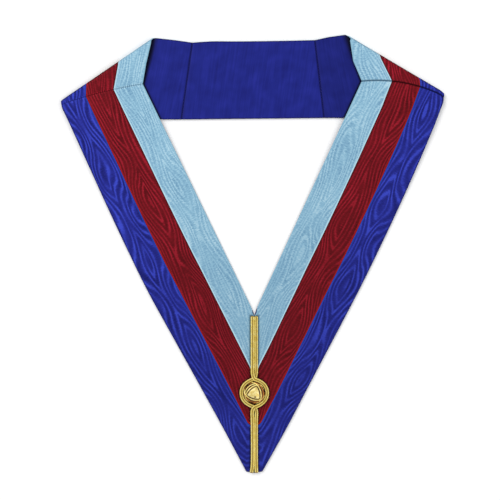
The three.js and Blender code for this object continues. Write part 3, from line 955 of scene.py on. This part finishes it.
def gold_material(name, colours, metallic, part=None):
    """Metal thread, browner where it is worn. A part of it can be coloured apart, such as painted shade: the
    attribute, where the part starts and is full, how strong it is, and the colour."""
    material, wires = new_material(name)
    x, y, z = object_place(wires)
    threads = noise(x, y, z / GOLD_THREAD_SIZE, (GOLD_THREAD_SIZE, GOLD_THREAD_SIZE), detail=1.0)
    wear = noise(x, y, z / WEAR_SIZE, (WEAR_SIZE, WEAR_SIZE))
    colour = ramp(threads * 0.4 + wear * 0.6, RAMP_PLACES, colours)
    if part:
        value, start, full, strength, part_colour = part
        colour = mix(fade(attribute(wires, value), start, full) * strength, colour, linear(part_colour))
    roughness = 0.3 + wear * 0.2
    finish_surface(wires, threads, GOLD_BUMP, colour, roughness, Metallic=metallic, Specular_IOR_Level=0.5)
    return material


# The braid: a flat core that carries two rows of slanted threads, laid along the strand's way.

# Way of a strand past the ring: across, as shares of half the spacing and of the ring's radius, along, as a
# share of the radius above the ring's centre, and level, 1 where one strand rides over the other.
STRAND_WAY = (
    (-1, 0, 2.3, 0), (-1, 0, 1.9, 0.35), (-1, 0, 1.62, 1), (-0.7, 0, 1.33, 1), (0, 0, 1.1, 1),
    (0, 0.26, 0.99, 1), (0, 0.5, 0.866, 0.6), (0, 0.77, 0.64, 0), (0, 0.94, 0.34, 0), (0, 1, 0, 0),
    (0, 0.94, -0.34, 0), (0, 0.77, -0.64, 0), (0, 0.5, -0.866, 0.6), (0, 0.26, -0.99, 1), (0, 0, -1.1, 1),
    (-0.9, 0, -1.3, 1), (-1.14, 0, -1.55, 0.7), (-1.06, 0, -1.85, 0), (-1, 0, -2.2, 0),
)
WAY_POINTS = 600

# How far each strand's end lies outside its own line, and how far from the end it starts to.
STRAND_SPREAD = {-1: -1.1, 1: 0.35}
SPREAD_LENGTH = 10.0

# The core as shares of the strand's width and height, and half a thread's length and width.
CORE_WIDTH = 0.86
CORE_HEIGHT = 0.5
CORE_CUTS = 100
HALF_THREAD = (1.52, 0.74)
THREAD_PITCH = 1.35
THREAD_SLANT = 38.0
STRAND_CREASE = 60

# Sizes of the gold's threads and of its worn patches.
GOLD_THREAD_SIZE = 0.3
WEAR_SIZE = 3.0
GOLD_BUMP = 0.00006


def strand_way(side):
    """Even points along a strand's foot."""
    spacing = STRAND_WIDTH / 2 + STRAND_GAP / 2
    over = STRAND_HEIGHT + PIECE_GAP if side < 0 else 0.0
    base = LAYER_THICKNESS + PIECE_GAP
    points = [(side * spacing, -BRAID_START, base)]
    for strand, ring, along, level in STRAND_WAY:
        across = strand * spacing + ring * RING_RADIUS
        points.append((-side * across, -RING_DROP + along * RING_RADIUS, base + over * level))
    points.append((side * spacing, -CENTRE_LENGTH + SPREAD_LENGTH, base))
    points.append((side * spacing + STRAND_SPREAD[side], -CENTRE_LENGTH + PIECE_GAP, base))
    points = np.array(points)
    knots = np.concatenate([[0], np.cumsum(np.sqrt(norm(np.diff(points, axis=0), axis=1)))])
    at = np.linspace(0, knots[-1], 4 * WAY_POINTS)
    dense = np.stack([smooth(knots, points[:, k], at) for k in range(3)], axis=1)
    dense[:, 2] = np.maximum(dense[:, 2], base)
    run = np.concatenate([[0], np.cumsum(norm(np.diff(dense, axis=0), axis=1))])
    even = np.linspace(0, run[-1], WAY_POINTS)
    return np.stack([np.interp(even, run, dense[:, k]) for k in range(3)], axis=1), float(run[-1])


def add_way_curve(name, points):
    data = bpy.data.curves.new(name, "CURVE")
    data.dimensions = "3D"
    data.twist_mode = "Z_UP"
    spline = data.splines.new("POLY")
    spline.points.add(len(points) - 1)
    for place, point in zip(spline.points, (points + NOTCH) * MM):
        place.co = (*point, 1.0)
    return new_object(name, data)


def add_core(length):
    """The flat foot of a strand, cut finely so that it can bend."""
    core = added(bpy.ops.mesh.primitive_cube_add, size=1.0)
    height = STRAND_HEIGHT * CORE_HEIGHT * MM
    core.scale = (length * MM, STRAND_WIDTH * CORE_WIDTH * MM, height)
    core.location = (length * MM / 2, 0, height / 2)
    apply_transform()
    bpy.ops.object.mode_set(mode="EDIT")
    bpy.ops.mesh.select_all(action="SELECT")
    bpy.ops.mesh.subdivide(number_cuts=CORE_CUTS)
    bpy.ops.object.mode_set(mode="OBJECT")
    return core


def add_thread(slant_side):
    """One slanted thread, a long bead whose ends turn down into the core."""
    turned = (0, pi / 2, 0)
    thread = added(bpy.ops.mesh.primitive_uv_sphere_add, segments=8, ring_count=6, rotation=turned)
    apply_transform(rotation=True)
    middle = STRAND_HEIGHT / 2
    thread.scale = (HALF_THREAD[0] * MM, HALF_THREAD[1] * MM, middle * MM)
    thread.rotation_euler = (0, 0, slant_side * radians(90 - THREAD_SLANT))
    thread.location = (THREAD_PITCH * MM, slant_side * STRAND_WIDTH / 4 * MM, middle * MM)
    apply_transform(rotation=True)
    return thread


def add_thread_row(slant_side, length):
    thread = add_thread(slant_side)
    array = thread.modifiers.new("rows", "ARRAY")
    array.use_relative_offset = False
    array.use_constant_offset = True
    array.constant_offset_displace = (THREAD_PITCH * MM, 0, 0)
    array.count = int(length / THREAD_PITCH) - 1
    apply_modifiers(thread)
    return thread


def apply_modifiers(piece):
    select_only(piece)
    for modifier in list(piece.modifiers):
        bpy.ops.object.modifier_apply(modifier=modifier.name)


def joined(parts, name):
    deselect_all()
    for part in parts:
        part.select_set(True)
    bpy.context.view_layer.objects.active = parts[0]
    bpy.ops.object.join()
    parts[0].name = name
    return parts[0]


def add_strand(name, side, thread_gold, shaded_core_gold):
    """One strand of braid. Side -1 starts on the left and rides over, side 1 starts on the right, under it."""
    points, length = strand_way(side)
    curve = add_way_curve(name + "_way", points)
    core = add_core(length)
    core.data.materials.append(thread_gold)
    core.data.materials.append(shaded_core_gold)
    for face in core.data.polygons:
        face.material_index = 1
    rows = [add_thread_row(slant_side, length) for slant_side in (-1, 1)]
    for row in rows:
        row.data.materials.append(thread_gold)
    strand = joined([core, *rows], name)
    from_middle = np.abs(vertex_places(strand.data)[:, 1]) / (STRAND_WIDTH / 2 * MM)
    put_values(strand.data, "from_middle", from_middle)
    strand.modifiers.new("way", "CURVE").object = curve
    apply_modifiers(strand)
    bpy.data.objects.remove(curve)
    shade_smooth(strand, STRAND_CREASE)
    return strand


# The button: a dome wound with gold thread in three directions.

# How far out each winding lies and how thick it is, as shares of the button's radius, and its gold by side.
# The shaded bronze on two sides of the outer windings is painted shade on the button's flank.
WINDINGS = (
    (0.63, 0.06, ("winding", "winding", "winding")),
    (0.85, 0.055, ("winding", "shaded_bronze", "shaded_bronze")),
)
DOME_SHARE = 0.92
BUTTON_CREASE = 50

# How much higher each side's windings lie than the last side's, so that they cross.
WINDING_STEP = 0.01

# How far out the triangle between the windings reaches.
TRIANGLE_REACH = 0.46

# A dark stitch low on the triangle: its place from the button's middle and its size.
STITCH_PLACE = (0.07, -0.32)
STITCH_SIZE = (0.1, 0.07, 0.03)


def winding_turns():
    """Directions from the button's middle to the three sides of the triangle."""
    return [radians(BUTTON_TURN + 60 + 120 * side_number) for side_number in range(3)]


def cut_below(piece):
    """Cuts off what lies below the rim."""
    select_only(piece)
    bpy.ops.object.mode_set(mode="EDIT")
    bpy.ops.mesh.select_all(action="SELECT")
    rim = (0, 0, -BUTTON_RIM / (BUTTON_HEIGHT - BUTTON_RIM))
    bpy.ops.mesh.bisect(plane_co=rim, plane_no=(0, 0, 1), use_fill=True, clear_inner=True)
    bpy.ops.object.mode_set(mode="OBJECT")


def add_dome():
    dome = added(bpy.ops.mesh.primitive_uv_sphere_add, segments=96, ring_count=64, radius=DOME_SHARE)
    cut_below(dome)
    return dome


def add_winding(out, thickness, side_number):
    """One thread over the dome, beside one side of the triangle and a share of the radius out."""
    winding = added(
        bpy.ops.mesh.primitive_torus_add, major_radius=DOME_SHARE + WINDING_STEP * side_number,
        minor_radius=thickness, major_segments=64, minor_segments=8,
    )
    lean = Matrix.Rotation(pi / 2 + asin(out), 4, "Y")
    turn = Matrix.Rotation(winding_turns()[side_number], 4, "Z")
    winding.data.transform(turn @ lean)
    cut_below(winding)
    return winding


def add_stitch():
    """The stitch low on the triangle, sunk halfway into the dome."""
    stitch = added(bpy.ops.mesh.primitive_uv_sphere_add, segments=16, ring_count=10, radius=1.0)
    across, up = STITCH_PLACE
    stitch.scale = STITCH_SIZE
    stitch.location = (across, up, sqrt(DOME_SHARE ** 2 - across ** 2 - up ** 2))
    apply_transform()
    return stitch


def triangle_reach(places):
    """How far each place lies toward the nearest side of the triangle, as a share of the radius."""
    turns = winding_turns()
    reach = np.stack([places[:, 0] * cos(turn) + places[:, 1] * sin(turn) for turn in turns])
    return (reach / np.maximum(np.hypot(reach, places[:, 2]), 0.001)).max(axis=0)


def add_button(name, golds):
    dome = add_dome()
    put_values(dome.data, "triangle_reach", triangle_reach(vertex_places(dome.data)))
    dome.data.materials.append(golds["dome"])
    parts = [dome]
    for side_number in range(3):
        for out, thickness, looks in WINDINGS:
            winding = add_winding(out, thickness, side_number)
            winding.data.materials.append(golds[looks[side_number]])
            parts.append(winding)
    stitch = add_stitch()
    stitch.data.materials.append(golds["under"])
    button = joined([*parts, stitch], name)
    radius = RING_RADIUS - STRAND_WIDTH / 2 - BUTTON_CLEARANCE
    button.scale = (radius * MM, radius * MM, (BUTTON_HEIGHT - BUTTON_RIM) * MM)
    button.location = (NOTCH + (0, -RING_DROP, LAYER_THICKNESS + PIECE_GAP + BUTTON_RIM)) * MM
    apply_transform()
    shade_smooth(button, BUTTON_CREASE)
    return button


# Putting the collar together

# Shifts of the patterns, in metres, so that no two pieces' figures match.
PATTERN_SHIFTS = {
    "front_left": 2.0, "front_right": 3.0, "shoulder_left": 5.0, "shoulder_right": 6.0, "back": 8.0,
}
RIBBON_SHIFT = 0.31
LINING_SHIFT = 1.7

# The seams across the back of the neck: no gathers, and a strong line.
BACK_SEAM = (0.0, 1.0)


def add_section(section, rows, lining_rows, pattern, seams, materials):
    """The three ribbons and the lining of one section of the band."""
    is_arm = section.startswith("front")
    shift = PATTERN_SHIFTS[section]
    half_gap = RIBBON_GAP / 2 / RIBBON_WIDTH
    lining = f"{section}_lining"
    for i, ribbon in enumerate(RIBBONS):
        span = (i + half_gap * (i > 0), i + 1 - half_gap * (i < len(RIBBONS) - 1))
        add_cloth(
            f"{section}_{ribbon}", rows, span, (0.0, RIBBON_THICKNESS), pattern, seams,
            material=materials[ribbon],
            shift=shift + RIBBON_SHIFT * i,
        )
    add_cloth(
        lining, lining_rows, (0, len(RIBBONS)), (RIBBON_THICKNESS + PIECE_GAP, LAYER_THICKNESS), pattern,
        [(0.0, strength) for _, strength in seams],
        material=materials["turned_lining" if section == "shoulder_right" else "lining"],
        shift=shift + LINING_SHIFT,
        tucked=0.0 if is_arm else 1.0,
    )


def add_camera():
    data = bpy.data.cameras.new("camera")
    data.sensor_width = SENSOR_WIDTH
    data.lens = SENSOR_WIDTH * (CAMERA_PLACE[2] - CLOTH_HEIGHT) / PICTURE_WIDTH
    camera = new_object("camera", data)
    camera.location = CAMERA_PLACE
    bpy.context.scene.camera = camera


def add_floor():
    floor = added(bpy.ops.mesh.primitive_plane_add, size=FLOOR_SIZE, location=(0, 0, -FLOOR_DROP))
    floor.name = "floor"
    material, wires = new_material("pale_floor")
    shader = wires.tree.nodes["Principled BSDF"]
    shader.inputs["Base Color"].default_value = FLOOR_COLOUR
    shader.inputs["Roughness"].default_value = FLOOR_ROUGHNESS
    floor.data.materials.append(material)


def add_light(name, place, size, power):
    """A large square light aimed at the middle of the table."""
    data = bpy.data.lights.new(name, "AREA")
    data.shape = "SQUARE"
    data.size = size
    data.energy = power
    light = new_object(name, data)
    light.location = place
    light.rotation_euler = Vector(place).to_track_quat("Z", "Y").to_euler()


def add_studio():
    world = bpy.data.worlds.new("studio")
    world.use_nodes = True
    background = world.node_tree.nodes["Background"]
    background.inputs["Color"].default_value = (1.0, 1.0, 1.0, 1.0)
    background.inputs["Strength"].default_value = WORLD_LIGHT
    bpy.context.scene.world = world
    for light in LIGHTS:
        add_light(*light)
    bpy.context.scene.view_settings.view_transform = "Standard"


def add_band():
    materials = {ribbon: watered_material(ribbon) for ribbon in RIBBONS}
    materials["lining"] = satin_material("lining_satin", 1.0)
    # A darker copy of the satin for the right shoulder's lining: painted shade.
    materials["turned_lining"] = satin_material("lining_satin_shaded", 0.8)
    for name, s in SIDES.items():
        seam = (s.pucker, s.seam_line)
        lining_rows = moved_at_notch(arm_rows(name), s.side, NOTCH_DROPS, 0, -1)
        rows = moved_at_notch(lining_rows, s.side, DRAWN_BACK[name], 1, 0)
        add_section("front_" + name, rows, lining_rows, arm_pattern(name), (BACK_SEAM, seam), materials)
        rows, fold_start = shoulder_rows(name)
        pattern = shoulder_pattern(name, fold_start)
        add_section("shoulder_" + name, rows, rows, pattern, (seam, BACK_SEAM), materials)
    rows = back_rows()
    add_section("back", rows, rows, back_pattern, (BACK_SEAM, BACK_SEAM), materials)


def add_trim():
    # Painted shade in the groove down the middle of each strand.
    painted_groove_shade = ("from_middle", 0.7, 0.2, 0.8, "#9a7a20")
    thread_gold = gold_material("gold_thread", ("#dcbe4e", "#f2de78", "#faf0ae"), 0.3, painted_groove_shade)
    # The core shows only between the threads; its dark gold is painted shade.
    shaded_core_gold = gold_material("gold_core_shaded", ("#6c500c", "#8c6c18", "#ae8e24"), 0.2)
    # Dark brown under the windings beyond the triangle: the button's dark core, painted darker as shade between
    # them.
    wound = ("triangle_reach", TRIANGLE_REACH - 0.02, TRIANGLE_REACH + 0.02, 1.0, "#3a1a0a")
    golds = {
        "dome": gold_material("gold_dome", ("#c8a850", "#ecd684", "#fff4c0"), 0.6, wound),
        "winding": gold_material("gold_winding", ("#c8a448", "#efd87c", "#fff2b4"), 0.65),
        # Painted shade on two sides of the button's outer windings.
        "shaded_bronze": gold_material("gold_shaded_bronze", ("#7c4416", "#b06a26", "#d89a3c"), 0.5),
        "under": gold_material("gold_shade", ("#2c1206", "#4c1e0c", "#6c3212"), 0.1),
    }
    for name, s in SIDES.items():
        strand = add_strand("gold_strand_" + name, s.side, thread_gold, shaded_core_gold)
        place_piece(strand, "braid_strand_" + name)
    place_piece(add_button("wound_button", golds), "dome_button")


add_camera()
add_floor()
add_studio()
add_band()
add_trim()
